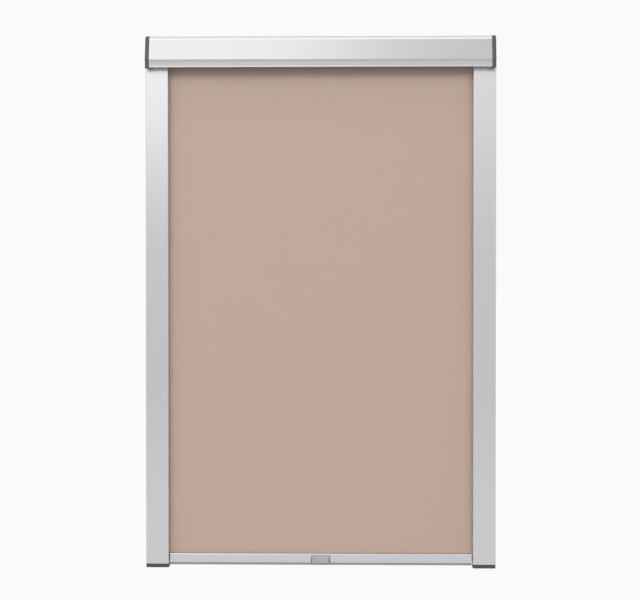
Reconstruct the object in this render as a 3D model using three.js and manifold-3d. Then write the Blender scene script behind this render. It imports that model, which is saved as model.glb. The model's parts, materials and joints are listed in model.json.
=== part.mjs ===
// A blackout roller blind for a roof window: an aluminium cassette with a spring roller inside, two side
// rails, and a bottom bar that carries the fabric down between them. The blind is drawn fully closed.
//
// Millimetres. X runs across the window, Y is zero on the window side and negative towards the room, and
// Z is up. The origin is on the cassette's back, half way up the cassette. A piece that comes as a pair is
// drawn for the right-hand side (+X), and the left-hand one is its mirror image.

import * as THREE from 'three';
import { mergeVertices, toCreasedNormals } from 'three/addons/utils/BufferGeometryUtils.js';
import Module from 'manifold-3d';

const wasm = await Module();
wasm.setup();

// Overall sizes
const overallWidth = 481; // over the outer faces of the side rails
const overallHeight = 730; // from the end caps' top to the foot of the rails

// Fits shared by all pieces
const fitGap = 0.3; // between pieces that are pushed or clipped together
const runGap = 0.2; // between a shaft and what turns on it
const seatGap = 0.1; // between faces that rest on each other
const rooted = 1; // how far a feature is sunk into what carries it
const overrun = 1; // how far a cutter runs past what it cuts

// Fabric
const fabricDepth = 8.4; // from the window side to the middle of the hanging fabric
const fabricThickness = 0.4;
const fabricOverlap = 10; // how far each side edge reaches into its rail
const turnsLeft = 2; // turns still on the roller when the blind is closed
const rollPitch = 0.85; // between one turn and the next

// Roller tube, with a groove for the spline that holds the fabric
const rollerRadius = 9;
const rollerWall = 0.9;
const rollerDrop = 1; // its axis below the middle of the cassette
const grooveWidth = 3;
const grooveDepth = 1.6;

// Cassette section, from the roll of fabric outwards
const cassetteHeight = 43.5; // from the foot of its front to its top
const cassetteWall = 1.3;
const rollClearance = 4.65; // from the full roll to the inside of the sloped front's lower edge
const frontLean = 7.7; // how much further out the sloped front is at its lower edge
const slopeFootRise = 10.5; // from the foot of the front to the lower edge of the slope
const coveRise = 7.2; // from the foot of the front to the top of the band under the slope
const coveInset = 1.6; // how far that band starts behind the slope's lower edge
const bandLean = 0.9; // and how much further in it is at its foot
const lipReach = 1.2; // how far the lip along the band's foot stands out
const lipRise = 2.7; // from the foot of the front to the top of the lip
const lipFace = 1.2; // height of the lip's front
const footWidth = 4.8; // from the lip to where the underside steps up
const undersideRise = 1.4; // from the foot of the front up to the rest of the underside
const backCornerRadius = 1;
const topFrontRadius = 8;
const slopeFootRadius = 0.8;
const coveRadius = 10;
const lipRadius = 0.6;
const stepRadius = 0.5;
const exitBackDepth = 3; // from the window side to the back edge of the fabric's slot
const exitFrontDepth = 16; // and to its front edge

// Channel along the cassette's back for the mounting brackets
const channelDrop = 3.5; // from the cassette's top to the channel
const channelHeight = 15;
const channelMouth = 11;
const channelDepth = 2.3;

// Screw ports in the cassette, open along one side as extruded ones are
const portRadius = 2.75;
const portBoreRadius = 1.5;
const portSlot = 1.4;
const portSink = 0.5; // how far a port is sunk into the wall behind it
const upperPortInset = 6.3; // from the top's front edge
const lowerPortInset = 9.8; // from the lip

// End caps of the cassette
const endCapThickness = 5.5;
const endCapSetback = 1.5; // inside the rails' outer faces
const endCapProud = 0.5; // beyond the cassette's top and front
const endCapDrop = 1.2; // from the foot of the cassette's front to its own
const endCapEdge = 0.8; // rounding of its outer edge
const endCapCorner = 2.4; // least rounding of its outline
const spigotWall = 1.4;
const spigotLength = 6;
const bossRadius = 6.5;
const bossLength = 5;
const bossRibs = 6;
const bossRibThickness = 1.4;
const bossRibReach = 4;
const bossRibHeight = 3;
const socketDepth = 1.5; // how far the boss's socket goes on into the cap
const railTongueLength = 12;

// End cap screws
const screwHeadRadius = 3;
const screwHeadHeight = 1.8;
const screwShankRadius = 1.3;
const screwLength = 16;
const screwPoint = 1.2;
const screwSink = 0.15; // the head's face below the cap's
const screwCrossLength = 3.4;
const screwCrossWidth = 0.7;
const screwCrossDepth = 0.9;

// Mounting brackets
const bracketInset = 84; // from each end of the cassette to a bracket's middle
const bracketWidth = 30;
const bracketThickness = 1.2;
const bracketBend = 0.5;
const bracketPlay = 0.5;
const bracketHoleRadius = 2.1;
const bracketHoleSpacing = 16;

// Roller ends
const collarThickness = 1.6;
const endFloat = 0.6; // free play of the roller along its axis
const idlerPlugLength = 20;
const idlerPinRadius = 2;
const idlerPinChamfer = 0.4;
const idlerPinGrip = 16; // how far the pin goes into the tube
const bushRadius = 4.1;
const bushFlangeRadius = 5.6;
const bushFlange = 0.8;

// Spring motor inside the roller
const spindleRadius = 3;
const spindleFlats = 4.6; // across the flats of its squared end
const spindleTail = 3; // how far it shows past the drive plug
const spindlePlugLength = 15;
const anchorSpacing = 8; // from the spindle plug to the spring's anchor
const anchorLength = 12;
const anchorRadius = 5.8;
const anchorStep = 3; // length of the anchor's narrow neck
const springWire = 1.2;
const springRadius = 5; // to the middle of the wire
const springPitch = 1.8;
const springCurls = 30;
const springStepsPerCurl = 8;
const springSides = 5;
const drivePlugLength = 16;

// Side rails
const railWidth = 31.4;
const railFront = 9.4; // from the fabric's plane to the rail's front face
const railWall = 1.3;
const railJoint = 0.3; // between the cassette's underside and the rail's top
const railEdgeRadius = 1.6; // front edge beside the fabric
const railCornerRadius = 0.9;
const railBackRadius = 0.6;
const railSlotHalf = 2.4; // from the fabric's plane to each lip of the slot
const chamberWidth = 6.5; // outer chamber, which takes the fixings and the caps
const partitionThickness = 1.2;
const sealRibThickness = 1;
const sealRibHeight = 1.5;
const sealSeatDepth = 0.2; // the shallow recess that each pile seal lies in
const chamberPad = 0.25; // extra wall in front of and behind the outer chamber
const railHoleRadius = 1.8;
const railAccessRadius = 3.5;
const railHoleShares = [0.07, 0.5, 0.91]; // of the rail's length, from its top

// Pile seals in the rails
const sealBase = 0.9;
const sealBaseWidth = 6.3;
const pileInset = 0.9; // from the base's edge to the pile
const pileTaper = 0.5;
const pileClear = 0.65; // from the fabric's plane to the pile's tips

// End caps of the rails
const railCapThickness = 5.2;
const railCapEdge = 0.8;
const railCapCorner = 1.6;
const railCapSpigot = 12;

// Bottom bar
const barEndGap = 1.2; // from each end to the rail
const barDepth = 10;
const barHeight = 12.8;
const barWall = 1.2;
const barFootClearance = 2.8; // from the foot of the rails' end caps up to the seal's tip
const barEdgeRadius = 1.7; // top front edge
const barCornerRadius = 0.8;
const barGrooveDrop = 9.2; // from the bar's top to the middle of the groove in its face
const barGrooveHeight = 1.2;
const barGrooveDepth = 0.5;
const keyholeDrop = 2.2;
const keyholeRadius = 1.3;
const keyholeWall = 1;
const keyholeSlot = 1.2;
const keeperRodRadius = 1;
const keeperRodInset = 2;

// Seal under the bottom bar, held in a slot
const footChannelHalf = 2.7;
const footChannelHeight = 1.4;
const footMouthHalf = 1.5;
const footRoof = 1;
const footSealHalf = 2.6;
const footSealDrop = 3.5; // from the bar's underside to the seal's tip
const footSealTip = 0.8;

// Sliders that guide the bar in the rails
const shoeHeight = 18;
const shoeFootClearance = 0.5; // above the rail's end cap
const shoeSideGap = 0.6; // from the fabric's edge
const shoePartitionGap = 0.9;
const shoeRounding = 2.5;
const tongueThickness = 1;
const tongueDrop = 2.6; // from the bar's top to the tongue's
const tongueHeight = 8;
const sliderSpigotLength = 12;
const padPocketWall = 1.5;
const padPocketHeight = 10;
const padPocketDepth = 4.2;
const padThickness = 2.4;
const padProud = 0.15; // how far the pad stands out of the shoe
const leafThickness = 0.35;
const leafChord = 8;

// Pull handle
const handleWidth = 27;
const handleTopDrop = 2; // from the bar's top to the handle's
const handleHeight = 10.6;
const handleTopProud = 0.9;
const handleWaistProud = 2.6;
const handleWaistDrop = 5.6;
const handleLipProud = 5.6;
const handleLipThickness = 1.1;
const handleCheek = 0.6; // thickness of its outer cheeks
const handleSlot = 1.6; // and of the slots between them and its body
const handleSide = 1.2; // thickness of the body's own sides
const handleBack = 0.9;
const handleRounding = 0.8;
const handleWaistRounding = 5;

// Roundness: the largest angle between neighbouring points of an arc, and steps around turned pieces
const arcStep = Math.PI / 12;
const edgeSteps = 3;
const turnedSteps = 28;
const smallTurnedSteps = 14;
const spiralStepsPerTurn = 36;
const creaseAngle = Math.PI / 5;

// Places worked out from the sizes above
const railOuter = overallWidth / 2;
const railInner = railOuter - railWidth;
const railDepth = fabricDepth + railFront;
const fabricY = -fabricDepth;
const fabricHalf = railInner + fabricOverlap;
const rollStart = rollerRadius + fitGap + fabricThickness / 2;
const rollEnd = rollStart + turnsLeft * rollPitch;
const rollerY = fabricY - rollEnd;
const rollerZ = -rollerDrop;

const fullRoll = Math.sqrt(rollerRadius ** 2 + (overallHeight * fabricThickness) / Math.PI);
const cassetteTop = cassetteHeight / 2;
const frontFoot = -cassetteHeight / 2;
const cassetteBottom = frontFoot + undersideRise;
const cassetteHalf = railOuter - endCapSetback - endCapThickness;
const frontDepth = -rollerY + fullRoll + rollClearance + cassetteWall;
const topDepth = frontDepth - frontLean;
const bandFootDepth = frontDepth - coveInset - bandLean;
const lipDepth = bandFootDepth + lipReach;
const channelHigh = cassetteTop - channelDrop;
const channelLow = channelHigh - channelHeight;
const channelMiddle = (channelHigh + channelLow) / 2;
const mouthHigh = channelMiddle + channelMouth / 2;
const mouthLow = channelMiddle - channelMouth / 2;
const channelFloor = -(cassetteWall + channelDepth);
const screwPorts = [
  { name: 'upper', y: upperPortInset - topDepth, z: cassetteTop - cassetteWall - portRadius + portSink },
  { name: 'lower', y: lowerPortInset - lipDepth, z: cassetteBottom + cassetteWall + portRadius - portSink },
];

const railTop = cassetteBottom - railJoint;
const railFoot = cassetteTop + endCapProud - overallHeight;
const railBottom = railFoot + railCapThickness + seatGap;
const chamberOuter = railOuter - railWall;
const chamberInner = chamberOuter - chamberWidth;
const partitionInner = chamberInner - partitionThickness;
const railBackFace = -railWall;
const railFrontFace = railWall - railDepth;

const bossEnd = cassetteHalf - bossLength;
const collarOuter = bossEnd - bushFlange - endFloat;
const collarInner = collarOuter - collarThickness;
const tubeHalf = collarInner - seatGap;
const tubeBore = rollerRadius - rollerWall;
const plugRadius = tubeBore - fitGap;
const spindlePlugInner = tubeHalf - spindlePlugLength;
const anchorOuter = spindlePlugInner - anchorSpacing;
const anchorInner = anchorOuter - anchorLength;
const springOuter = anchorInner - fitGap - springWire / 2;
const springInner = springOuter - springCurls * springPitch;
const drivePlugOuter = springInner - fitGap - springWire / 2;
const drivePlugInner = drivePlugOuter - drivePlugLength;

const footSealTipZ = railFoot + barFootClearance;
const barBottom = footSealTipZ + footSealDrop;
const barTop = barBottom + barHeight;
const barFront = fabricY - barDepth / 2;
const barBack = fabricY + barDepth / 2;
const barHalf = railInner - barEndGap;
const keyholeZ = barTop - keyholeDrop;
const keyholeBossBottom = keyholeZ - keyholeRadius - keyholeWall;
const footLip = barBottom + barWall;
const footChannelTop = footLip + footChannelHeight;
const footMouthTop = footLip + footChannelHeight / 2;
const footRoofTop = footChannelTop + footRoof;
const grooveZ = barTop - barGrooveDrop;
const fabricTop = rollerZ - fitGap;
const fabricBottom = keyholeZ + keeperRodRadius + fitGap;

const shoeBottom = railBottom + shoeFootClearance;
const shoeTop = shoeBottom + shoeHeight;
const shoeInner = fabricHalf + shoeSideGap;
const shoeOuter = partitionInner - shoePartitionGap;
const shoeFront = railFrontFace + fitGap;
const shoeBack = railBackFace - fitGap;
const padMiddle = (shoeBottom + shoeTop) / 2;
const padFront = shoeFront - padProud;
const padBack = padFront + padThickness;
const pocketFloor = shoeFront + padPocketDepth;

// Drawing helpers

const corner = (x, y, radius = 0) => ({ x, y, radius });
const vector = ({ x, y }) => new THREE.Vector2(x, y);

// Points of a path whose corners are rounded by arcs that touch both sides. A rounding that has no room
// on its sides is made as large as they allow.
function roundedPoints(corners, closed = false) {
  const points = [];
  corners.forEach((at, i) => {
    const isEnd = !closed && (i === 0 || i === corners.length - 1);
    const here = vector(at);
    if (isEnd || !at.radius) {
      points.push(here);
      return;
    }
    const before = vector(corners.at(i - 1)).sub(here);
    const after = vector(corners[(i + 1) % corners.length]).sub(here);
    const half = before.angleTo(after) / 2;
    const room = Math.min(before.length(), after.length()) / 2;
    const reach = Math.min(at.radius / Math.tan(half), room);
    const radius = reach * Math.tan(half);
    const start = here.clone().addScaledVector(before.normalize(), reach);
    const inwards = before.add(after.normalize()).normalize();
    const centre = here.clone().addScaledVector(inwards, radius / Math.sin(half));
    const turn = Math.sign(inwards.cross(start.clone().sub(here)));
    const sweep = turn * (Math.PI - 2 * half);
    const steps = Math.max(2, Math.ceil(Math.abs(sweep) / arcStep));
    for (let step = 0; step <= steps; step += 1) {
      points.push(start.clone().rotateAround(centre, (sweep * step) / steps));
    }
  });
  return points;
}

// The same corners moved sideways by a distance, to the left of the path.
function offsetCorners(corners, distance, closed = false) {
  const leftOf = (a, b) => new THREE.Vector2(a.y - b.y, b.x - a.x).normalize();
  const last = corners.length - 1;
  return corners.map((at, i) => {
    const before = closed || i > 0 ? leftOf(corners.at(i - 1), at) : leftOf(at, corners[i + 1]);
    const after = closed || i < last ? leftOf(at, corners[(i + 1) % corners.length]) : before;
    const shift = before.clone().add(after).multiplyScalar(distance / (1 + before.dot(after)));
    const turn = Math.sign(before.cross(after));
    const radius = at.radius ? Math.max(at.radius - turn * distance, 0) : 0;
    return corner(at.x + shift.x, at.y + shift.y, radius);
  });
}

// A thin wall whose outer face follows an open path and whose inner face lies to the path's left.
function wallShape(corners, thickness) {
  const inner = roundedPoints(offsetCorners(corners, thickness));
  return new THREE.Shape([...roundedPoints(corners), ...inner.reverse()]);
}

// A strip of even thickness along a line of points.
function stripShape(points, thickness) {
  const line = points.map(({ x, y }) => corner(x, y));
  const right = offsetCorners(line, -thickness / 2).map(vector);
  const left = offsetCorners(line, thickness / 2).map(vector);
  return new THREE.Shape([...right, ...left.reverse()]);
}

// A filled outline with rounded corners.
const filledShape = (corners) => new THREE.Shape(roundedPoints(corners, true));

function rectangleCorners([x0, x1], [y0, y1], radius) {
  return [corner(x0, y0, radius), corner(x1, y0, radius), corner(x1, y1, radius), corner(x0, y1, radius)];
}

// A section drawn with Y to the right and Z up, as it stands in the model.
const yzSection = new THREE.Matrix4().makeBasis(
  new THREE.Vector3(0, 1, 0),
  new THREE.Vector3(0, 0, 1),
  new THREE.Vector3(1, 0, 0),
);

function alongZ(shape, from, to) {
  const geometry = new THREE.ExtrudeGeometry(shape, { depth: to - from, bevelEnabled: false });
  return geometry.translate(0, 0, from);
}

const alongX = (shape, from, to) => alongZ(shape, from, to).applyMatrix4(yzSection);

function block([x0, x1], [y0, y1], [z0, z1]) {
  const geometry = new THREE.BoxGeometry(x1 - x0, y1 - y0, z1 - z0);
  return geometry.translate((x0 + x1) / 2, (y0 + y1) / 2, (z0 + z1) / 2);
}

// A round bar along X.
function rodX(radius, [x0, x1], y, z, steps = smallTurnedSteps) {
  const geometry = new THREE.CylinderGeometry(radius, radius, x1 - x0, steps);
  return geometry.rotateZ(-Math.PI / 2).translate((x0 + x1) / 2, y, z);
}

// A piece turned about an axis along X. The profile lists [x, radius] from the axis or the bore at its
// low end, out and along, and back in at its high end.
function turnedX(profile, y, z, steps = turnedSteps) {
  const points = profile.map(([x, radius]) => new THREE.Vector2(radius, x));
  if (profile[0][1] > 0) points.push(points[0].clone());
  return new THREE.LatheGeometry(points, steps).rotateZ(-Math.PI / 2).translate(0, y, z);
}

// A plate drawn in X and Y from zero up in Z, with a rounded edge round its far face.
function roundedPlate(points, thickness, edge) {
  const blank = new THREE.ExtrudeGeometry(new THREE.Shape(points), {
    depth: thickness - edge,
    bevelThickness: edge,
    bevelSize: edge,
    bevelOffset: -edge,
    bevelSegments: edgeSteps,
  });
  const kept = block([-overallHeight, overallHeight], [-overallHeight, overallHeight], [0, thickness]);
  return geometryOf(solid(blank).intersect(solid(kept)));
}

// Solids: closed meshes that can be joined and cut

function solid(geometry) {
  const bare = geometry.clone();
  bare.deleteAttribute('normal');
  bare.deleteAttribute('uv');
  const merged = mergeVertices(bare);
  const index = merged.index.array;
  const triVerts = [];
  for (let i = 0; i < index.length; i += 3) {
    const [a, b, c] = index.subarray(i, i + 3);
    if (a !== b && b !== c && c !== a) triVerts.push(a, b, c);
  }
  return new wasm.Manifold(new wasm.Mesh({
    numProp: 3,
    vertProperties: merged.attributes.position.array,
    triVerts: new Uint32Array(triVerts),
  }));
}

function geometryOf(shape) {
  const { vertProperties, triVerts } = shape.getMesh();
  const geometry = new THREE.BufferGeometry();
  geometry.setAttribute('position', new THREE.BufferAttribute(vertProperties, 3));
  geometry.setIndex(new THREE.BufferAttribute(triVerts, 1));
  return geometry;
}

const joined = (first, ...others) => others.reduce((sum, next) => sum.add(solid(next)), solid(first));
const cut = (shape, ...tools) => tools.reduce((left, tool) => left.subtract(solid(tool)), shape);

// The mirror image of a geometry, with its faces still pointing out.
function mirrored(geometry, flipX, flipZ) {
  const image = geometry.clone().scale(flipX, 1, flipZ);
  const index = image.index.array;
  for (let i = 0; i < index.length; i += 3) {
    [index[i + 1], index[i + 2]] = [index[i + 2], index[i + 1]];
  }
  return image;
}

// Cassette

// Corners of the cassette's outline, from the foot of its back up and over to the foot of its front, and
// along the underside. The top and the front can stand proud of it, the foot can hang lower, and every
// corner can be given a least rounding.
function cassetteOutline(footDepth, proud = 0, drop = 0, leastRadius = 0) {
  const rounded = (radius) => Math.max(radius, leastRadius);
  const stepY = footWidth - lipDepth;
  return [
    corner(0, cassetteBottom, rounded(backCornerRadius)),
    corner(0, cassetteTop + proud, rounded(backCornerRadius)),
    corner(-topDepth - proud, cassetteTop + proud, rounded(topFrontRadius)),
    corner(-frontDepth - proud, frontFoot + slopeFootRise, rounded(slopeFootRadius)),
    corner(coveInset - frontDepth - proud, frontFoot + coveRise, rounded(coveRadius)),
    corner(-footDepth - proud, frontFoot - drop, rounded(lipRadius)),
    corner(stepY, frontFoot - drop, rounded(stepRadius)),
    corner(stepY + undersideRise, cassetteBottom, rounded(stepRadius)),
  ];
}

const cassettePath = [
  corner(-exitBackDepth, cassetteBottom),
  ...cassetteOutline(bandFootDepth),
  corner(-exitFrontDepth, cassetteBottom),
];

// The lip along the foot of the front.
const lipShape = () => filledShape([
  corner(cassetteWall / 2 - bandFootDepth, frontFoot),
  corner(cassetteWall / 2 - bandFootDepth, frontFoot + lipRise),
  corner(-bandFootDepth, frontFoot + lipRise),
  corner(-lipDepth, frontFoot + lipFace, lipRadius),
  corner(-lipDepth, frontFoot, lipRadius),
]);

// The channel's walls, or with a gap, the room that they need.
function channelWalls(xRange, gap = 0) {
  const grown = cassetteWall + gap;
  return block(xRange, [channelFloor - grown, -cassetteWall / 2], [channelLow - grown, channelHigh + grown]);
}

function cassetteShell() {
  const ends = [-cassetteHalf, cassetteHalf];
  const cutEnds = [-cassetteHalf - overrun, cassetteHalf + overrun];
  const shell = joined(
    alongX(wallShape(cassettePath, cassetteWall), ...ends),
    alongX(lipShape(), ...ends),
    channelWalls(ends),
    ...screwPorts.map(({ y, z }) => rodX(portRadius, ends, y, z)),
  );
  const channel = block(cutEnds, [channelFloor, -cassetteWall], [channelLow, channelHigh]);
  const mouth = block(cutEnds, [channelFloor / 2, overrun], [mouthLow, mouthHigh]);
  const bores = screwPorts.map(({ y, z }) => rodX(portBoreRadius, cutEnds, y, z));
  const slots = screwPorts.map(({ y, z }) => {
    const inwards = -Math.sign(z) * (portRadius + portSlot);
    return block(cutEnds, [y - portSlot / 2, y + portSlot / 2], [z, z + inwards].sort((a, b) => a - b));
  });
  return cut(shell, channel, mouth, ...bores, ...slots);
}

// End caps

// A countersunk screw along X, its face flush with the end cap's; a gap makes it the hole for one.
function countersunk({ y, z }, gap = 0) {
  const face = cassetteHalf + endCapThickness - screwSink + gap;
  const neck = face - screwHeadHeight - gap;
  const tip = face - screwLength;
  return turnedX([
    [tip, 0],
    [tip, (screwShankRadius + gap) / 2],
    [tip + screwPoint, screwShankRadius + gap],
    [neck, screwShankRadius + gap],
    [face - screwSink, screwHeadRadius + gap],
    [face, screwHeadRadius + gap],
    [face, 0],
  ], y, z, smallTurnedSteps);
}

function endCapScrew(port) {
  const face = cassetteHalf + endCapThickness - screwSink;
  const depth = [face - screwCrossDepth, face + overrun];
  const half = { long: screwCrossLength / 2, short: screwCrossWidth / 2 };
  const bar = (y, z) => block(depth, [port.y - y, port.y + y], [port.z - z, port.z + z]);
  return cut(solid(countersunk(port)), bar(half.long, half.short), bar(half.short, half.long));
}

// The wall that plugs into the cassette, cut back where the ports and the channel are.
function endCapSpigot() {
  const path = offsetCorners(cassettePath, cassetteWall + fitGap);
  const wall = alongX(wallShape(path, spigotWall), cassetteHalf - spigotLength, cassetteHalf + rooted);
  const inside = [cassetteHalf - spigotLength - overrun, cassetteHalf];
  return cut(
    solid(wall),
    channelWalls(inside, fitGap),
    ...screwPorts.map(({ y, z }) => rodX(portRadius + fitGap, inside, y, z)),
  );
}

// Ribs that brace the boss against the cap.
function bossRib(turn) {
  const reach = bossRadius + bossRibReach;
  const rib = block(
    [cassetteHalf - bossRibHeight, cassetteHalf + rooted],
    [0, reach],
    [-bossRibThickness / 2, bossRibThickness / 2],
  );
  return rib.rotateX(turn * 2 * Math.PI).translate(0, rollerY, rollerZ);
}

// An end cap with a boss for one end of the roller; the socket is cut out of the boss.
function endCap(socket) {
  const corners = cassetteOutline(lipDepth, endCapProud, endCapDrop, endCapCorner);
  const outline = roundedPoints(corners, true);
  const plate = roundedPlate(outline, endCapThickness, endCapEdge).applyMatrix4(yzSection);
  const tongueOuter = Math.min(cassetteHalf + endCapThickness - endCapEdge, chamberOuter - fitGap);
  const body = joined(
    plate.translate(cassetteHalf, 0, 0),
    rodX(bossRadius, [bossEnd, cassetteHalf + rooted], rollerY, rollerZ, turnedSteps),
    ...Array.from({ length: bossRibs }, (_, i) => bossRib(i / bossRibs)),
    block(
      [cassetteHalf, tongueOuter],
      [railFrontFace + chamberPad + fitGap, railBackFace - chamberPad - fitGap],
      [cassetteBottom - railTongueLength, cassetteBottom + rooted],
    ),
  );
  return cut(body.add(endCapSpigot()), socket, ...screwPorts.map((port) => countersunk(port, fitGap)));
}

const socketReach = [bossEnd - overrun, cassetteHalf + socketDepth];

const bushSocket = () => rodX(bushRadius + fitGap, socketReach, rollerY, rollerZ, turnedSteps);

function spindleSocket() {
  const half = spindleFlats / 2 + runGap;
  return block(socketReach, [rollerY - half, rollerY + half], [rollerZ - half, rollerZ + half]);
}

// Mounting brackets: a spring steel strip with its edges behind the channel's lips

function mountingBracket() {
  const flange = -(cassetteWall + fitGap);
  const strip = wallShape([
    corner(flange, channelLow + bracketPlay),
    corner(flange, mouthLow + fitGap, bracketBend),
    corner(0, mouthLow + fitGap, bracketBend),
    corner(0, mouthHigh - fitGap, bracketBend),
    corner(flange, mouthHigh - fitGap, bracketBend),
    corner(flange, channelHigh - bracketPlay),
  ], bracketThickness);
  const middle = cassetteHalf - bracketInset;
  const holes = [-1, 1].map((side) => {
    const hole = new THREE.CylinderGeometry(
      bracketHoleRadius,
      bracketHoleRadius,
      2 * (bracketThickness + overrun),
      smallTurnedSteps,
    );
    return hole.translate(middle + (side * bracketHoleSpacing) / 2, 0, channelMiddle);
  });
  return cut(solid(alongX(strip, middle - bracketWidth / 2, middle + bracketWidth / 2)), ...holes);
}

// Roller

function rollerTube() {
  const ends = [-tubeHalf, tubeHalf];
  const ring = new THREE.Shape().absarc(0, 0, rollerRadius, 0, 2 * Math.PI);
  ring.holes.push(new THREE.Path().absarc(0, 0, tubeBore, 0, 2 * Math.PI));
  const tube = new THREE.ExtrudeGeometry(ring, {
    depth: 2 * tubeHalf,
    bevelEnabled: false,
    curveSegments: turnedSteps / 2,
  });
  tube.translate(0, 0, -tubeHalf).applyMatrix4(yzSection).translate(0, rollerY, rollerZ);
  return cut(joined(tube, grooveWalls(ends)), splineGroove([-tubeHalf - overrun, tubeHalf + overrun]));
}

// The groove's walls inside the tube, or with a gap, the room that they need.
function grooveWalls(xRange, gap = 0) {
  const half = grooveWidth / 2 + rollerWall + gap;
  const inner = rollerY + rollerRadius - grooveDepth - rollerWall - gap;
  return block(xRange, [inner, rollerY + rollerRadius - rollerWall / 2], [rollerZ - half, rollerZ + half]);
}

function splineGroove(xRange) {
  const floor = rollerY + rollerRadius - grooveDepth;
  const half = grooveWidth / 2;
  return block(xRange, [floor, rollerY + rollerRadius + overrun], [rollerZ - half, rollerZ + half]);
}

function fabricSpline() {
  const floor = rollerY + rollerRadius - grooveDepth;
  const half = grooveWidth / 2 - runGap;
  const yRange = [floor + seatGap, rollerY + rollerRadius - runGap];
  const corners = rectangleCorners(yRange, [rollerZ - half, rollerZ + half], half / 2);
  return solid(alongX(filledShape(corners), -fabricHalf, fabricHalf));
}

// The last turns of fabric, wound in from where it hangs off the window side of the roller.
function fabricRoll() {
  const steps = Math.round(turnsLeft * spiralStepsPerTurn);
  const points = Array.from({ length: steps + 1 }, (_, i) => {
    const turns = (turnsLeft * i) / steps;
    const radius = rollEnd - rollPitch * turns;
    const angle = turns * 2 * Math.PI;
    return new THREE.Vector2(rollerY + radius * Math.cos(angle), rollerZ + radius * Math.sin(angle));
  });
  return solid(alongX(stripShape(points, fabricThickness), -fabricHalf, fabricHalf));
}

// A plug that closes one end of the tube, with a collar against the tube's end.
function tubePlug(length, bore) {
  const plug = turnedX([
    [tubeHalf - length, bore],
    [tubeHalf - length, plugRadius],
    [collarInner, plugRadius],
    [collarInner, rollerRadius],
    [collarOuter, rollerRadius],
    [collarOuter, bore],
  ], rollerY, rollerZ);
  return cut(solid(plug), grooveWalls([tubeHalf - length - overrun, collarInner], fitGap));
}

function idlerPin() {
  const inner = tubeHalf - idlerPinGrip;
  const outer = cassetteHalf + socketDepth - fitGap;
  return solid(turnedX([
    [inner, 0],
    [inner, idlerPinRadius - idlerPinChamfer],
    [inner + idlerPinChamfer, idlerPinRadius],
    [outer - idlerPinChamfer, idlerPinRadius],
    [outer, idlerPinRadius - idlerPinChamfer],
    [outer, 0],
  ], rollerY, rollerZ, smallTurnedSteps));
}

function idlerBush() {
  const bore = idlerPinRadius + runGap;
  const end = cassetteHalf + socketDepth - fitGap;
  return solid(turnedX([
    [bossEnd - bushFlange, bore],
    [bossEnd - bushFlange, bushFlangeRadius],
    [bossEnd - seatGap, bushFlangeRadius],
    [bossEnd - seatGap, bushRadius],
    [end, bushRadius],
    [end, bore],
  ], rollerY, rollerZ));
}

// Spring motor

function springSpindle() {
  const inner = drivePlugInner - spindleTail;
  const outer = cassetteHalf + socketDepth - fitGap;
  const half = spindleFlats / 2;
  const rod = rodX(spindleRadius, [inner, outer], rollerY, rollerZ, turnedSteps);
  const squareEnd = block(
    [bossEnd - fitGap, outer + overrun],
    [rollerY - half, rollerY + half],
    [rollerZ - half, rollerZ + half],
  );
  const roundPart = block(
    [inner - overrun, bossEnd - fitGap],
    [rollerY - bossRadius, rollerY + bossRadius],
    [rollerZ - bossRadius, rollerZ + bossRadius],
  );
  return solid(rod).intersect(joined(roundPart, squareEnd));
}

function springAnchor() {
  const bore = spindleRadius + runGap;
  const neck = springRadius - springWire / 2 - fitGap;
  return solid(turnedX([
    [anchorInner, bore],
    [anchorInner, anchorRadius],
    [anchorOuter - anchorStep, anchorRadius],
    [anchorOuter - anchorStep, neck],
    [anchorOuter, neck],
    [anchorOuter, bore],
  ], rollerY, rollerZ));
}

class SpringLine extends THREE.Curve {
  getPoint(t, target = new THREE.Vector3()) {
    const angle = t * springCurls * 2 * Math.PI;
    return target.set(
      THREE.MathUtils.lerp(springInner, springOuter, t),
      rollerY + springRadius * Math.cos(angle),
      rollerZ + springRadius * Math.sin(angle),
    );
  }
}

function torsionSpring() {
  const wire = Array.from({ length: springSides }, (_, i) => {
    const angle = (i / springSides) * 2 * Math.PI;
    return new THREE.Vector2(Math.cos(angle), Math.sin(angle)).multiplyScalar(springWire / 2);
  });
  return solid(new THREE.ExtrudeGeometry(new THREE.Shape(wire), {
    steps: springCurls * springStepsPerCurl,
    extrudePath: new SpringLine(),
  }));
}

function drivePlug() {
  const bore = spindleRadius + runGap;
  const ends = [drivePlugInner, drivePlugOuter];
  const plug = turnedX([
    [ends[0], bore],
    [ends[0], plugRadius],
    [ends[1], plugRadius],
    [ends[1], bore],
  ], rollerY, rollerZ);
  return cut(solid(plug), grooveWalls([ends[0] - overrun, ends[1] + overrun], fitGap));
}

// Side rails

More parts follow.
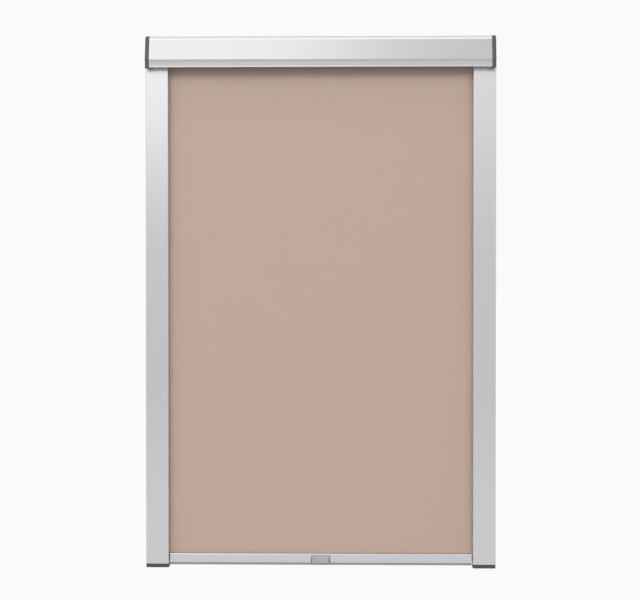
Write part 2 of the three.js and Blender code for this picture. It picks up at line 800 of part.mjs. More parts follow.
// The rail's section: a slot for the fabric, a space for the seals and the slider, and behind the partition
// a closed chamber for the fixings and the caps.
function railSection() {
  const seatInner = railInner + railWall;
  const ribInner = seatInner + fitGap + sealBaseWidth + fitGap;
  const ribOuter = ribInner + sealRibThickness;
  const inside = (lipY, faceY, inwards) => [
    corner(seatInner, lipY),
    corner(seatInner, faceY - inwards * sealSeatDepth),
    corner(ribInner, faceY - inwards * sealSeatDepth),
    corner(ribInner, faceY + inwards * sealRibHeight),
    corner(ribOuter, faceY + inwards * sealRibHeight),
    corner(ribOuter, faceY),
    corner(partitionInner, faceY),
  ];
  const section = filledShape([
    corner(railInner, fabricY - railSlotHalf),
    corner(railInner, -railDepth, railEdgeRadius),
    corner(railOuter, -railDepth, railCornerRadius),
    corner(railOuter, 0, railBackRadius),
    corner(railInner, 0, railBackRadius),
    corner(railInner, fabricY + railSlotHalf),
    ...inside(fabricY + railSlotHalf, railBackFace, -1),
    ...inside(fabricY - railSlotHalf, railFrontFace, 1).reverse(),
  ]);
  const chamberY = [railFrontFace + chamberPad, railBackFace - chamberPad];
  const chamber = rectangleCorners([chamberInner, chamberOuter], chamberY, 0);
  section.holes.push(new THREE.Path(roundedPoints(chamber, true)));
  return section;
}

function sideRail() {
  const y = (railFrontFace + railBackFace) / 2;
  const holes = railHoleShares.flatMap((share) => {
    const z = THREE.MathUtils.lerp(railTop, railBottom, share);
    return [
      rodX(railHoleRadius, [chamberOuter - overrun, railOuter + overrun], y, z),
      rodX(railAccessRadius, [partitionInner - overrun, chamberInner + overrun], y, z),
    ];
  });
  return cut(solid(alongZ(railSection(), railBottom, railTop)), ...holes);
}

// A pile strip from a rail's wall to the fabric, which presses light out of the slot.
function pileSeal(wallY, towards) {
  const near = railInner + railWall + fitGap;
  const far = near + sealBaseWidth;
  const seat = wallY + towards * (seatGap - sealSeatDepth);
  const base = seat + towards * sealBase;
  const tip = fabricY - towards * pileClear;
  return solid(alongZ(filledShape([
    corner(near, seat),
    corner(far, seat),
    corner(far, base),
    corner(far - pileInset, base),
    corner(far - pileInset - pileTaper, tip, pileTaper),
    corner(near + pileInset + pileTaper, tip, pileTaper),
    corner(near + pileInset, base),
    corner(near, base),
  ]), railBottom, railTop));
}

function railEndCap() {
  const outline = roundedPoints(rectangleCorners([railInner, railOuter], [-railDepth, 0], railCapCorner), true);
  const plate = mirrored(roundedPlate(outline, railCapThickness, railCapEdge), 1, -1);
  plate.translate(0, 0, railFoot + railCapThickness);
  const spigot = block(
    [chamberInner + fitGap, chamberOuter - fitGap],
    [railFrontFace + chamberPad + fitGap, railBackFace - chamberPad - fitGap],
    [railFoot + railCapThickness - rooted, railBottom + railCapSpigot],
  );
  return joined(plate, spigot);
}

// Bottom bar

function bottomBar() {
  const ends = [-barHalf, barHalf];
  const cutEnds = [-barHalf - overrun, barHalf + overrun];
  const outline = [
    corner(barFront, barBottom, barCornerRadius),
    corner(barBack, barBottom, barCornerRadius),
    corner(barBack, barTop, barCornerRadius),
    corner(barFront, barTop, barEdgeRadius),
  ];
  const skin = filledShape(outline);
  skin.holes.push(new THREE.Path(roundedPoints(offsetCorners(outline, barWall, true), true)));
  const footHalf = barDepth / 2 - barWall / 2;
  const bar = joined(
    alongX(skin, ...ends),
    rodX(keyholeRadius + keyholeWall, ends, fabricY, keyholeZ),
    block(ends, [fabricY - footHalf, fabricY + footHalf], [barBottom + barWall / 2, footRoofTop]),
  );
  const groove = [grooveZ - barGrooveHeight / 2, grooveZ + barGrooveHeight / 2];
  return cut(
    bar,
    rodX(keyholeRadius, cutEnds, fabricY, keyholeZ),
    block(cutEnds, [fabricY - keyholeSlot / 2, fabricY + keyholeSlot / 2], [keyholeZ, barTop + overrun]),
    block(cutEnds, [fabricY - footChannelHalf, fabricY + footChannelHalf], [footLip, footChannelTop]),
    block(cutEnds, [fabricY - footMouthHalf, fabricY + footMouthHalf], [barBottom - overrun, footMouthTop]),
    block(cutEnds, [barFront - overrun, barFront + barGrooveDepth], groove),
  );
}

const keeperRod = () => solid(
  rodX(keeperRodRadius, [keeperRodInset - barHalf, barHalf - keeperRodInset], fabricY, keyholeZ),
);

function bottomSeal() {
  const head = footChannelHalf - fitGap;
  const neck = footMouthHalf - fitGap;
  const headLow = footLip + seatGap;
  const headHigh = footChannelTop - fitGap;
  const shoulder = barBottom - seatGap;
  const side = (sign) => [
    corner(fabricY + sign * footSealHalf / 2, footSealTipZ, footSealTip),
    corner(fabricY + sign * footSealHalf, shoulder),
    corner(fabricY + sign * neck, shoulder),
    corner(fabricY + sign * neck, headLow),
    corner(fabricY + sign * head, headLow),
    corner(fabricY + sign * head, headHigh),
  ];
  const outline = [...side(1), ...side(-1).reverse()];
  return solid(alongX(filledShape(outline), -barHalf, barHalf));
}

// The hanging fabric, from the roller down into the bar's slot.
function blackoutFabric() {
  const half = fabricThickness / 2;
  return solid(block([-fabricHalf, fabricHalf], [fabricY - half, fabricY + half], [fabricBottom, fabricTop]));
}

// Sliders and their brakes

function slider() {
  const shoe = alongX(
    filledShape(rectangleCorners([shoeFront, shoeBack], [shoeBottom, shoeTop], shoeRounding)),
    shoeInner,
    shoeOuter,
  );
  const tongueTop = barTop - tongueDrop;
  const tongue = block(
    [barHalf, shoeInner + rooted],
    [fabricY - tongueThickness / 2, fabricY + tongueThickness / 2],
    [tongueTop - tongueHeight, tongueTop],
  );
  const spigotHalf = barDepth / 2 - barWall - fitGap;
  const spigot = block(
    [barHalf - sliderSpigotLength, barHalf + barEndGap / 2],
    [fabricY - spigotHalf, fabricY + spigotHalf],
    [footRoofTop + fitGap, keyholeBossBottom - fitGap],
  );
  const pocket = block(
    [shoeInner + padPocketWall, shoeOuter - padPocketWall],
    [shoeFront - overrun, pocketFloor],
    [padMiddle - padPocketHeight / 2, padMiddle + padPocketHeight / 2],
  );
  return cut(joined(shoe, tongue, spigot), pocket);
}

function brakePad() {
  const half = padPocketHeight / 2 - fitGap;
  const gap = padPocketWall + fitGap;
  const section = rectangleCorners([padFront, padBack], [padMiddle - half, padMiddle + half], padThickness / 4);
  return solid(alongX(filledShape(section), shoeInner + gap, shoeOuter - gap));
}

// A bowed leaf spring between the pocket's floor and the pad.
function leafSpring() {
  const feet = pocketFloor - seatGap - leafThickness / 2;
  const crown = padBack + seatGap + leafThickness / 2;
  const rise = feet - crown;
  const radius = ((leafChord / 2) ** 2 + rise ** 2) / (2 * rise);
  const half = Math.asin(leafChord / 2 / radius);
  const steps = Math.max(4, Math.ceil((2 * half) / arcStep));
  const points = Array.from({ length: steps + 1 }, (_, i) => {
    const angle = half * ((2 * i) / steps - 1);
    return new THREE.Vector2(crown + radius * (1 - Math.cos(angle)), padMiddle + radius * Math.sin(angle));
  });
  const gap = padPocketWall + 2 * fitGap;
  return solid(alongX(stripShape(points, leafThickness), shoeInner + gap, shoeOuter - gap));
}

// Pull handle: a flared lip on the bar's face, hollow underneath, with a slot and a thin cheek on each side
// and a rib in the bar's groove

function pullHandle() {
  const top = barTop - handleTopDrop;
  const bottom = top - handleHeight;
  const back = barFront - seatGap;
  const lip = back - handleLipProud;
  const half = handleWidth / 2;
  const body = filledShape([
    corner(back, bottom),
    corner(back, top),
    corner(back - handleTopProud, top, handleRounding),
    corner(back - handleWaistProud, top - handleWaistDrop, handleWaistRounding),
    corner(lip, bottom + handleLipThickness, handleRounding),
    corner(lip, bottom, handleRounding),
  ]);
  const scoop = filledShape([
    corner(back - handleBack, bottom - overrun),
    corner(lip + handleLipThickness, bottom - overrun),
    corner(lip + handleLipThickness, bottom + handleLipThickness),
    corner(back - handleWaistProud + handleBack, top - handleWaistDrop, handleRounding),
    corner(back - handleBack, top - handleWaistDrop, handleRounding),
  ]);
  const ribHalf = barGrooveHeight / 2 - seatGap;
  const rib = block(
    [handleCheek - half, half - handleCheek],
    [back - handleBack / 2, barFront + barGrooveDepth - seatGap],
    [grooveZ - ribHalf, grooveZ + ribHalf],
  );
  const bodyHalf = half - handleCheek - handleSlot;
  const slots = [-1, 1].map((side) => block(
    [side * bodyHalf, side * (bodyHalf + handleSlot)].sort((a, b) => a - b),
    [lip - overrun, back - handleBack],
    [bottom - overrun, top + overrun],
  ));
  const hollow = alongX(scoop, handleSide - bodyHalf, bodyHalf - handleSide);
  return cut(joined(alongX(body, -half, half), rib), hollow, ...slots);
}

// Materials

const finish = (color, roughness, metalness) => new THREE.MeshStandardMaterial({ color, roughness, metalness });
const aluminium = finish(0xd9d9dc, 0.42, 0.85);
const barAluminium = finish(0xc9c6ca, 0.45, 0.8);
const darkPlastic = finish(0x646466, 0.55, 0);
const greyPlastic = finish(0xaeacaf, 0.5, 0);
const whitePlastic = finish(0xe8e6e0, 0.4, 0);
const blackPlastic = finish(0x2b2b2d, 0.5, 0);
const blackoutCloth = finish(0xbba79a, 0.95, 0);
const pile = finish(0x8c8a88, 1, 0);
const felt = finish(0x4a4a4c, 1, 0);
const rubber = finish(0x565456, 0.8, 0);
const zincSteel = finish(0xb9bbbd, 0.35, 1);
const springSteel = finish(0x7f8387, 0.3, 1);

// Assembly

const blind = new THREE.Group();

function add(name, shape, material, image = (geometry) => geometry) {
  const mesh = new THREE.Mesh(toCreasedNormals(image(geometryOf(shape)), creaseAngle), material);
  mesh.name = name;
  blind.add(mesh);
}

const asLeft = (geometry) => mirrored(geometry, -1, 1);

// A pair of pieces, the left one a mirror image of the right one.
function addPair(name, shape, material) {
  add(`left_${name}`, shape, material, asLeft);
  add(`right_${name}`, shape, material);
}

add('cassette_shell', cassetteShell(), aluminium);
add('left_end_cap', endCap(bushSocket()), darkPlastic, asLeft);
add('right_end_cap', endCap(spindleSocket()), darkPlastic);
screwPorts.forEach((port) => addPair(`${port.name}_cap_screw`, endCapScrew(port), zincSteel));
addPair('mounting_bracket', mountingBracket(), springSteel);

addPair('side_rail', sideRail(), aluminium);
addPair('front_pile_seal', pileSeal(railFrontFace, 1), pile);
addPair('back_pile_seal', pileSeal(railBackFace, -1), pile);
addPair('rail_end_cap', railEndCap(), darkPlastic);

add('roller_tube', rollerTube(), zincSteel);
add('fabric_roll', fabricRoll(), blackoutCloth);
add('fabric_spline', fabricSpline(), whitePlastic);
add('idler_plug', tubePlug(idlerPlugLength, idlerPinRadius + runGap), blackPlastic, asLeft);
add('idler_pin', idlerPin(), zincSteel, asLeft);
add('idler_bush', idlerBush(), whitePlastic, asLeft);
add('spindle_plug', tubePlug(spindlePlugLength, spindleRadius + runGap), blackPlastic);
add('spring_spindle', springSpindle(), zincSteel);
add('spring_anchor', springAnchor(), whitePlastic);
add('torsion_spring', torsionSpring(), springSteel);
add('drive_plug', drivePlug(), blackPlastic);

add('bottom_bar', bottomBar(), barAluminium);
add('keeper_rod', keeperRod(), whitePlastic);
add('bottom_seal', bottomSeal(), rubber);
add('pull_handle', pullHandle(), greyPlastic);
addPair('slider', slider(), greyPlastic);
addPair('brake_pad', brakePad(), felt);
addPair('brake_spring', leafSpring(), springSteel);
add('blackout_fabric', blackoutFabric(), blackoutCloth);

export default blind;
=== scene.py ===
# A blackout roller blind for a roof window, drawn fully down: its finishes, its cloth and a plain studio.
# Everything is in metres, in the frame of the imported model.

import json
import math

import bmesh
import bpy
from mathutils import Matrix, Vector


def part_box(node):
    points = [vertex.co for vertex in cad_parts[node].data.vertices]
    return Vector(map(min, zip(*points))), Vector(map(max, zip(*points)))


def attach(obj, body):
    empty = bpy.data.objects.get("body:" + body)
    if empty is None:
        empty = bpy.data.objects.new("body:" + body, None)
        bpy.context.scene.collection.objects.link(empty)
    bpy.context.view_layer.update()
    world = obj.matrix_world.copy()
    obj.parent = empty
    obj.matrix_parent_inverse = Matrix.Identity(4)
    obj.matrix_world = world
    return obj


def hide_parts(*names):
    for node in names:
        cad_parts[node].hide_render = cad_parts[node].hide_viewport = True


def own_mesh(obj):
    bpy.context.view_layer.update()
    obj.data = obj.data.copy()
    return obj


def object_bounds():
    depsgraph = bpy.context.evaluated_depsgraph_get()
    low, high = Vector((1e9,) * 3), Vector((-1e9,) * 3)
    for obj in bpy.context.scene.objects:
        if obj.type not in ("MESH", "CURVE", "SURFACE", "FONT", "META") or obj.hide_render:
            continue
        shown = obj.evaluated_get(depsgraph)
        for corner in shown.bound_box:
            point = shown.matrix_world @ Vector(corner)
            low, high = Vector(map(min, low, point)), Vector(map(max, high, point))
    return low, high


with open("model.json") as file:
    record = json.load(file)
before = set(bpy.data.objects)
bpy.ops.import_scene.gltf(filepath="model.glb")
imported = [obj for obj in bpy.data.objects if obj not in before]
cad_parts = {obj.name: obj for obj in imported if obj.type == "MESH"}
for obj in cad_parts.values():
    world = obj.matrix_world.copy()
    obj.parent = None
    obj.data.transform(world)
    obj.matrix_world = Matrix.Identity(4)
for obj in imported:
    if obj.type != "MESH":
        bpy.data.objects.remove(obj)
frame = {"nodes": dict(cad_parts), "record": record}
cad_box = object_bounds()

MM = 0.001
UPRIGHT = math.radians(90)  # turned by this about X, a camera or lamp points along +Y and not down

# Camera, fitted to the photograph's edges
CAMERA_PLACE = (0.0467, -2.215, -0.3104)
CAMERA_PITCH = math.radians(-0.74)
CAMERA_TURN = math.radians(1.236)
CAMERA_LENS = 90
CAMERA_SENSOR = 36

# Studio
PALE = 0.955  # the background's brightness, where 1 is white
# How brightly the surroundings light matt surfaces, by elevation in degrees. Most of it comes from a soft
# ring round the room, a little above the blind.
SURROUND = (
    (-5, 0.47),
    (2, 0.67),
    (8, 0.47),
    (11, 2.15),
    (14, 3.8),
    (17, 4.2),
    (20, 3.65),
    (23, 2.5),
    (26, 1),
    (30, 0),
)
# Lamps, with the angle in degrees by which each is tilted down from upright
LAMPS = {
    "key": {"place": (-1.39, -2.5, 1.345), "size": (2.9, 2.6), "brightness": 0.86, "tilt": 0},
    "side": {"place": (0.95, -2.5, 0.5), "size": (1.6, 0.8), "brightness": 0.34, "tilt": 0},
    "top": {"place": (-0.3, -0.85, 1.75), "size": (1.8, 0.75), "brightness": 1.12, "tilt": 64},
    "overhead": {"place": (-0.45, 0.1, 1.5), "size": (2.2, 2.5), "brightness": 0.44, "tilt": 90},
    "low": {"place": (0, -2.5, -1.1), "size": (3.6, 0.5), "brightness": 0.28, "tilt": -10},
}
FLOOR_DROP = 0.55  # from the foot of the rails to the floor
FLOOR_SIZE = (6.0, 4.6)
FLOOR_GLOW = 0.24  # what the eye and gloss see added to the floor, which brings it near the background

# Colours of the finishes
COLORS = {
    "cassette_aluminium": (0.488, 0.486, 0.498),
    # The rails' aluminium is the cassette's metal, painted a little lighter for how light falls on the rails:
    # painted light.
    "rail_aluminium": (0.512, 0.509, 0.526),
    "bar_aluminium": (0.542, 0.524, 0.547),
    "dark_plastic": (0.08, 0.08, 0.082),
    # The rail caps' plastic is the dark plastic painted darker: painted shade.
    "rail_cap_plastic": (0.056, 0.056, 0.058),
    "grey_plastic": (0.385, 0.375, 0.39),
    "white_plastic": (0.8, 0.78, 0.74),
    "black_plastic": (0.025, 0.025, 0.027),
    "pile": (0.26, 0.25, 0.24),
    "felt": (0.07, 0.07, 0.07),
    "rubber": (0.325, 0.31, 0.315),
    "zinc_steel": (0.62, 0.62, 0.63),
    "spring_steel": (0.3, 0.31, 0.33),
    "cloth": (0.492, 0.374, 0.313),
    "coating": (0.72, 0.71, 0.68),
    "floor": (0.9, 0.9, 0.9),
}

# Textures, in cycles of noise to a metre: one number for all directions, or three for X, Y and Z
METAL_LINES_ACROSS = 2600
METAL_LINES_ALONG = 6
METAL_CLOUDS = (9,)
PLASTIC_GRAIN = (1500,)
PLASTIC_CLOUDS = (40,)
WEFT = (60, 60, 2400)
WARP = (2400, 60, 60)
COATING_CLOUDS = (14,)
COATING_GLOSS = (220,)
COATING_GRAIN = (2400,)
PILE_FIBRES = (3000, 400, 3000)
FELT_FIBRES = (1500,)
RUBBER_CLOUDS = (90,)
RUBBER_LINES = (12, 1800, 1800)
STEEL_CLOUDS = (240,)
STEEL_GRAIN = (3000,)
FLOOR_CLOUDS = (3,)

# Shares of the textures in what they vary
CLOUD_SHARE = 0.4  # of the metal's gloss; its lines have the rest
YARN_SHARE = 0.7  # of the weave's shades
CROSSING_SHARE = 0.15

# Depths of the textures
METAL_DEPTH = 0.004 * MM
PLASTIC_DEPTH = 0.025 * MM
WEAVE_DEPTH = 0.05 * MM
COATING_DEPTH = 0.02 * MM
FIBRE_DEPTH = 0.15 * MM
RUBBER_DEPTH = 0.02 * MM

# Cloth
CLOTH_THICKNESS = 0.4 * MM
CLOTH_COLUMNS = 72
CLOTH_ROWS = 110
CLOTH_WAVE = 0.16 * MM  # the slight waviness of the hanging cloth
CLOTH_WAVE_LENGTHS = (0.19, 0.27)  # across it and down it
CLOTH_WAVE_SLANTS = (0.6, 0.3)
THREAD = 0.42 * MM  # from one thread to the next
WOUND_TURNS = 2
WOUND_STEPS = 96  # for each turn
WOUND_GAP = 0.5 * MM  # from the roller to the middle of the innermost turn

# Softening of the hard edges
EDGE_ROUNDING = 0.15 * MM
EDGE_SEGMENTS = 2
SHARP = math.radians(26)
FLAT = math.radians(0.4)
WELD = 0.001 * MM
SHADE_BY_AREA = 100  # lets the large faces rule the shading of the small ones beside them


# Camera


def make_camera():
    camera = bpy.data.objects.new("camera", bpy.data.cameras.new("camera"))
    bpy.context.scene.collection.objects.link(camera)
    camera.location = CAMERA_PLACE
    camera.rotation_euler = (UPRIGHT + CAMERA_PITCH, 0, CAMERA_TURN)
    camera.data.lens = CAMERA_LENS
    camera.data.sensor_width = CAMERA_SENSOR
    bpy.context.scene.camera = camera


# Materials


class Finish:
    """A material, and its shader's node tree as it is built up."""

    def __init__(self, name, roughness, **sockets):
        self.material = bpy.data.materials.new(name)
        self.material.use_nodes = True
        self.tree = self.material.node_tree
        self.shader = self.tree.nodes["Principled BSDF"]
        self.color = COLORS[name]
        self.roughness = roughness
        self.set_input(self.shader, "Base Color", (*self.color, 1))
        self.set_input(self.shader, "Roughness", roughness)
        for socket, value in sockets.items():
            self.set_input(self.shader, socket.replace("_", " "), value)
        self.place = self.add("ShaderNodeTexCoord").outputs["Object"]

    def set_input(self, node, key, value):
        if isinstance(value, bpy.types.NodeSocket):
            self.tree.links.new(value, node.inputs[key])
        else:
            node.inputs[key].default_value = value

    def add(self, kind, inputs=(), **settings):
        node = self.tree.nodes.new(kind)
        for key, value in settings.items():
            setattr(node, key, value)
        for key, value in dict(inputs).items():
            self.set_input(node, key, value)
        return node

    def calc(self, operation, *values):
        inputs = dict(enumerate(values))
        return self.add("ShaderNodeMath", inputs, operation=operation).outputs[0]

    def mix(self, share, low, high, colors=False):
        """A blend from low to high by share. A mix node has its colour sockets after those for numbers."""
        kind, first, result = ("RGBA", 6, 2) if colors else ("FLOAT", 2, 0)
        inputs = {0: share, first: low, first + 1: high}
        return self.add("ShaderNodeMix", inputs, data_type=kind).outputs[result]

    def noise(self, cycles, detail=2.0):
        """Noise with so many cycles to a metre, given once or for each axis."""
        each_way = cycles if len(cycles) == 3 else cycles * 3
        stretched = self.add("ShaderNodeVectorMath", {0: self.place, 1: each_way}, operation="MULTIPLY")
        inputs = {"Vector": stretched.outputs[0], "Scale": 1.0, "Detail": detail}
        return self.add("ShaderNodeTexNoise", inputs).outputs["Fac"]

    def ranged(self, value, low, high):
        inputs = {"Value": value, "To Min": low, "To Max": high}
        return self.add("ShaderNodeMapRange", inputs).outputs["Result"]

    def tint(self, value, amount):
        """Lets the colour vary with value, from darker to lighter by the given share."""
        dark, light = ((*(c * (1 + side * amount) for c in self.color), 1) for side in (-1, 1))
        self.set_input(self.shader, "Base Color", self.mix(value, dark, light, colors=True))

    def polish(self, value, amount):
        """Lets the roughness vary with value, on both sides of its level."""
        varied = self.ranged(value, self.roughness - amount, self.roughness + amount)
        self.set_input(self.shader, "Roughness", varied)

    def relief(self, height, depth, strength=1.0):
        inputs = {"Height": height, "Distance": depth, "Strength": strength}
        bump = self.add("ShaderNodeBump", inputs)
        self.set_input(self.shader, "Normal", bump.outputs["Normal"])


def anodised(name, along):
    """Satin anodised aluminium with the fine lines that extrusion leaves along one axis."""
    finish = Finish(name, roughness=0.28, Metallic=1.0, Anisotropic=0.55, Anisotropic_Rotation=0.25)
    direction = [1.0 if axis == along else 0.0 for axis in "XYZ"]
    tangent = finish.add("ShaderNodeCombineXYZ", dict(zip("XYZ", direction)))
    finish.set_input(finish.shader, "Tangent", tangent.outputs[0])
    cycles = [METAL_LINES_ALONG if axis == along else METAL_LINES_ACROSS for axis in "XYZ"]
    lines = finish.noise(cycles, detail=3)
    clouds = finish.noise(METAL_CLOUDS, detail=3)
    finish.tint(lines, amount=0.012)
    finish.polish(finish.mix(CLOUD_SHARE, lines, clouds), amount=0.05)
    finish.relief(lines, METAL_DEPTH, strength=0.6)
    return finish.material


def moulded(name, roughness):
    """Moulded plastic with a fine matt texture."""
    finish = Finish(name, roughness, Specular_IOR_Level=0.35)
    grain = finish.noise(PLASTIC_GRAIN)
    finish.tint(finish.noise(PLASTIC_CLOUDS, detail=3), amount=0.05)
    finish.polish(grain, amount=0.06)
    finish.relief(grain, PLASTIC_DEPTH, strength=0.7)
    return finish.material


def woven(name):
    """A fine plain weave: each thread passes over one crossing thread and under the next."""
    finish = Finish(name, roughness=0.92, Specular_IOR_Level=0.2, Sheen_Weight=0.12, Sheen_Roughness=0.4)
    parts = finish.add("ShaderNodeSeparateXYZ", {0: finish.place})
    across = finish.calc("MULTIPLY", parts.outputs["X"], math.pi / THREAD)
    down = finish.calc("MULTIPLY", parts.outputs["Z"], math.pi / THREAD)
    crossing = finish.calc("MULTIPLY", finish.calc("SINE", across), finish.calc("SINE", down))
    weft_over = finish.ranged(crossing, 0, 1)
    yarn = finish.mix(weft_over, finish.noise(WARP), finish.noise(WEFT))
    yarn_shade = finish.calc("MULTIPLY", yarn, YARN_SHARE)
    crossing_shade = finish.calc("MULTIPLY", crossing, CROSSING_SHARE)
    finish.tint(finish.calc("ADD", yarn_shade, crossing_shade), amount=0.06)
    finish.relief(finish.calc("ABSOLUTE", crossing), WEAVE_DEPTH, strength=0.5)
    return finish.material


def coated(name):
    """The light-tight coating on the window side of the cloth."""
    finish = Finish(name, roughness=0.55, Specular_IOR_Level=0.4)
    finish.tint(finish.noise(COATING_CLOUDS, detail=4), amount=0.03)
    finish.polish(finish.noise(COATING_GLOSS), amount=0.08)
    finish.relief(finish.noise(COATING_GRAIN), COATING_DEPTH, strength=0.6)
    return finish.material


def fibrous(name, cycles):
    """Pile or felt: short fibres, as many as the noise has cycles."""
    finish = Finish(name, roughness=0.95, Specular_IOR_Level=0.15, Sheen_Weight=0.3)
    fibres = finish.noise(cycles)
    finish.tint(fibres, amount=0.3)
    finish.relief(fibres, FIBRE_DEPTH)
    return finish.material


def rubbery(name):
    """Soft rubber with faint lines along X, in which it was extruded."""
    finish = Finish(name, roughness=0.7, Specular_IOR_Level=0.35)
    finish.tint(finish.noise(RUBBER_CLOUDS, detail=3), amount=0.08)
    finish.relief(finish.noise(RUBBER_LINES), RUBBER_DEPTH, strength=0.6)
    return finish.material


def plated(name, roughness):
    """Zinc-plated or oiled steel, a little cloudy."""
    finish = Finish(name, roughness, Metallic=1.0)
    clouds = finish.noise(STEEL_CLOUDS, detail=4)
    finish.tint(clouds, amount=0.08)
    finish.polish(clouds, amount=0.08)
    finish.relief(finish.noise(STEEL_GRAIN), METAL_DEPTH, strength=0.6)
    return finish.material


# What makes each finish, with the axis of its lines, its roughness or its fibres where those vary
FINISHES = {
    "cassette_aluminium": (anodised, "X"),
    "rail_aluminium": (anodised, "Z"),
    "bar_aluminium": (anodised, "X"),
    "dark_plastic": (moulded, 0.5),
    "rail_cap_plastic": (moulded, 0.5),
    "grey_plastic": (moulded, 0.45),
    "white_plastic": (moulded, 0.4),
    "black_plastic": (moulded, 0.5),
    "pile": (fibrous, PILE_FIBRES),
    "felt": (fibrous, FELT_FIBRES),
    "rubber": (rubbery,),
    "zinc_steel": (plated, 0.35),
    "spring_steel": (plated, 0.32),
    "cloth": (woven,),
    "coating": (coated,),
}


def finish_of(node):
    """The name of a solid node's finish: mostly its slot, but the rails get their own copies of one metal and
    one plastic: the metal painted a little lighter (painted light) and the caps' plastic painted darker
    (painted shade).
    """
    if slots[node] == "aluminium":
        return "rail_aluminium" if "rail" in node else "cassette_aluminium"
    if slots[node] == "dark_plastic" and "rail" in node:
        return "rail_cap_plastic"
    return slots[node]


# Pieces


def finished(name, shape, materials):
    """The object that a bmesh becomes."""
    mesh = bpy.data.meshes.new(name)
    shape.to_mesh(mesh)
    shape.free()
    for material in materials:
        mesh.materials.append(material)
    piece = bpy.data.objects.new(name, mesh)
    bpy.context.scene.collection.objects.link(piece)
    return piece


def stand_for(piece, node, body):
    """Puts a piece in the place of a CAD node, which it hides, and on its body."""
    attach(piece, body)
    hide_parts(node)


def softened(node, body, material):
    """A piece with the shape of a CAD node, its hard edges rounded a little and its curves smooth."""
    shape = bmesh.new()
    shape.from_mesh(frame["nodes"][node].data)
    bmesh.ops.remove_doubles(shape, verts=shape.verts, dist=WELD)
    bmesh.ops.dissolve_limit(shape, angle_limit=FLAT, verts=shape.verts, edges=shape.edges)
    bmesh.ops.bevel(
        shape,
        geom=[line for line in shape.edges if line.calc_face_angle(0) > SHARP],
        offset=EDGE_ROUNDING,
        segments=EDGE_SEGMENTS,
        profile=0.5,
        affect="EDGES",
        clamp_overlap=True,
    )
    for face in shape.faces:
        face.smooth = True
    piece = finished(f"{node}_piece", shape, [material])
    normals = piece.modifiers.new("normals", "WEIGHTED_NORMAL")
    normals.weight = SHADE_BY_AREA
    stand_for(piece, node, body)


# Cloth


def cloth_piece(name, grid, materials):
    """A closed sheet from a grid of points on its room side and window side; grid[side][row][column]."""
    shape = bmesh.new()
    rows, columns = len(grid[0]), len(grid[0][0])
    room, window = [[[shape.verts.new(place) for place in row] for row in side] for side in grid]
    for i in range(rows - 1):
        for j in range(columns - 1):
            shape.faces.new((room[i][j], room[i + 1][j], room[i + 1][j + 1], room[i][j + 1]))
            corners = (window[i][j], window[i][j + 1], window[i + 1][j + 1], window[i + 1][j])
            shape.faces.new(corners).material_index = 1
    rim = [(0, j) for j in range(columns)]
    rim += [(i, columns - 1) for i in range(1, rows)]
    rim += [(rows - 1, j) for j in range(columns - 2, -1, -1)]
    rim += [(i, 0) for i in range(rows - 2, 0, -1)]
    for (a, b), (c, d) in zip(rim, rim[1:] + rim[:1]):
        shape.faces.new((room[a][b], room[c][d], window[c][d], window[a][b]))
    bmesh.ops.recalc_face_normals(shape, faces=shape.faces)
    for face in shape.faces:
        face.smooth = True
    piece = finished(name, shape, materials)
    piece.data.set_sharp_from_angle(angle=SHARP)
    return piece


def hanging_cloth(materials):
    """The cloth between the roller and the bar: flat, but for a slight waviness that fades at its edges."""
    low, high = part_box("blackout_fabric")
    width, length = high.x - low.x, high.z - low.z
    middle = (low.y + high.y) / 2

    def place(i, j, side):
        u, v = j / CLOTH_COLUMNS, i / CLOTH_ROWS
        x, z = low.x + u * width, high.z - v * length
        across, down = x / CLOTH_WAVE_LENGTHS[0], z / CLOTH_WAVE_LENGTHS[1]
        waves = math.sin(2 * math.pi * (across + CLOTH_WAVE_SLANTS[0] * down))
        waves += math.sin(2 * math.pi * (down - CLOTH_WAVE_SLANTS[1] * across))
        fade = math.sin(math.pi * u) * math.sin(math.pi * v)
        return (x, middle + side * CLOTH_THICKNESS / 2 + CLOTH_WAVE * fade * waves, z)

    grid = [
        [[place(i, j, side) for j in range(CLOTH_COLUMNS + 1)] for i in range(CLOTH_ROWS + 1)]
        for side in (-1, 1)
    ]
    cloth = cloth_piece("blackout_cloth", grid, materials)
    stand_for(cloth, "blackout_fabric", "bar")
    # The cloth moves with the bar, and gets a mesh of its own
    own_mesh(cloth)


def wound_cloth(materials):
    """The turns that stay on the roller, a spiral that starts where the cloth hangs off it."""
    low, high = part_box("fabric_roll")
    tube_low, tube_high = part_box("roller_tube")
    hang_low, hang_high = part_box("blackout_fabric")
    axis_y, axis_z = (tube_low.y + tube_high.y) / 2, (tube_low.z + tube_high.z) / 2
    outer = (hang_low.y + hang_high.y) / 2 - axis_y
    inner = (tube_high.z - tube_low.z) / 2 + WOUND_GAP
    steps = WOUND_TURNS * WOUND_STEPS

    def place(i, x, side):
        angle = 2 * math.pi * WOUND_TURNS * i / steps
        radius = outer + (inner - outer) * i / steps + side * CLOTH_THICKNESS / 2
        return (x, axis_y + radius * math.cos(angle), axis_z + radius * math.sin(angle))

    grid = [
        [[place(i, x, side) for x in (low.x, high.x)] for i in range(steps + 1)]
        for side in (-1, 1)
    ]
    cloth = cloth_piece("wound_cloth", grid, materials)
    stand_for(cloth, "fabric_roll", "roller")


# Studio


def seen_directly(tree):
    """1 for what the eye, gloss and glass see, and 0 for the light that falls on matt surfaces."""
    path = tree.nodes.new("ShaderNodeLightPath")
    seen = path.outputs["Is Camera Ray"]
    for ray in ("Is Glossy Ray", "Is Transmission Ray"):
        either = tree.nodes.new("ShaderNodeMath")
        either.operation = "MAXIMUM"
        tree.links.new(seen, either.inputs[0])
        tree.links.new(path.outputs[ray], either.inputs[1])
        seen = either.outputs[0]
    return seen


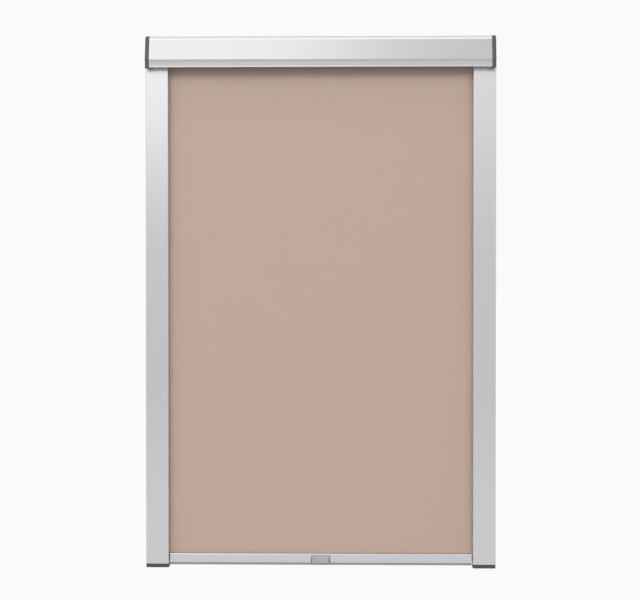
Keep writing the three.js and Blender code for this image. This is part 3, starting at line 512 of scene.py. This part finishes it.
def make_world():
    """A pale background for the eye and for gloss, and a soft ring of light for matt surfaces."""
    world = bpy.data.worlds.new("studio")
    world.use_nodes = True
    bpy.context.scene.world = world
    tree = world.node_tree
    tree.nodes.clear()
    direction = tree.nodes.new("ShaderNodeTexCoord")
    parts = tree.nodes.new("ShaderNodeSeparateXYZ")
    height = tree.nodes.new("ShaderNodeMapRange")
    height.inputs["From Min"].default_value = -1
    ramp = tree.nodes.new("ShaderNodeValToRGB")
    brightest = max(level for _, level in SURROUND)
    stops = ramp.color_ramp.elements
    while len(stops) < len(SURROUND):
        stops.new(1)
    for stop, (elevation, level) in zip(stops, SURROUND):
        stop.position = (1 + math.sin(math.radians(elevation))) / 2
        stop.color = (*(3 * [level / brightest]), 1)
    tree.links.new(direction.outputs["Generated"], parts.inputs[0])
    tree.links.new(parts.outputs["Z"], height.inputs["Value"])
    tree.links.new(height.outputs["Result"], ramp.inputs[0])
    fill, pale = (tree.nodes.new("ShaderNodeBackground") for _ in range(2))
    tree.links.new(ramp.outputs["Color"], fill.inputs["Color"])
    fill.inputs["Strength"].default_value = brightest
    pale.inputs["Color"].default_value = (1, 1, 1, 1)
    pale.inputs["Strength"].default_value = PALE
    mix = tree.nodes.new("ShaderNodeMixShader")
    tree.links.new(seen_directly(tree), mix.inputs[0])
    tree.links.new(fill.outputs[0], mix.inputs[1])
    tree.links.new(pale.outputs[0], mix.inputs[2])
    output = tree.nodes.new("ShaderNodeOutputWorld")
    tree.links.new(mix.outputs[0], output.inputs["Surface"])


def softbox(name, place, size, brightness, tilt):
    """A rectangular lamp as bright as a surface of that level, where 1 is white."""
    lamp = bpy.data.lights.new(name, "AREA")
    lamp.shape = "RECTANGLE"
    lamp.size, lamp.size_y = size
    lamp.energy = brightness * math.pi * lamp.size * lamp.size_y
    box = bpy.data.objects.new(name, lamp)
    bpy.context.scene.collection.objects.link(box)
    box.location = place
    box.rotation_euler = (UPRIGHT - math.radians(tilt), 0, 0)
    box.visible_camera = False


def make_floor():
    low, high = cad_box
    bpy.ops.mesh.primitive_plane_add(size=1, location=(0, 0, low.z - FLOOR_DROP))
    floor = bpy.context.object
    floor.name = "floor"
    floor.scale = (*FLOOR_SIZE, 1)
    finish = Finish("floor", roughness=0.8, Specular_IOR_Level=0.2)
    finish.tint(finish.noise(FLOOR_CLOUDS, detail=3), amount=0.01)
    glow = finish.calc("MULTIPLY", seen_directly(finish.tree), FLOOR_GLOW)
    finish.set_input(finish.shader, "Emission Color", (1, 1, 1, 1))
    finish.set_input(finish.shader, "Emission Strength", glow)
    floor.data.materials.append(finish.material)


# The scene

make_camera()

slots = {part["node"]: part["material_slot"] for part in frame["record"]["subparts"]}
bodies = frame["record"]["behaviour"]["bodies"]
materials = {name: make(name, *details) for name, (make, *details) in FINISHES.items()}

both_sides = [materials["cloth"], materials["coating"]]
hanging_cloth(both_sides)
wound_cloth(both_sides)
for body, members in bodies.items():
    for node in members:
        if slots[node] != "blackout_cloth":
            softened(node, body, materials[finish_of(node)])

make_floor()
make_world()
for name, lamp in LAMPS.items():
    softbox(name, **lamp)

bpy.context.scene.view_settings.view_transform = "Standard"
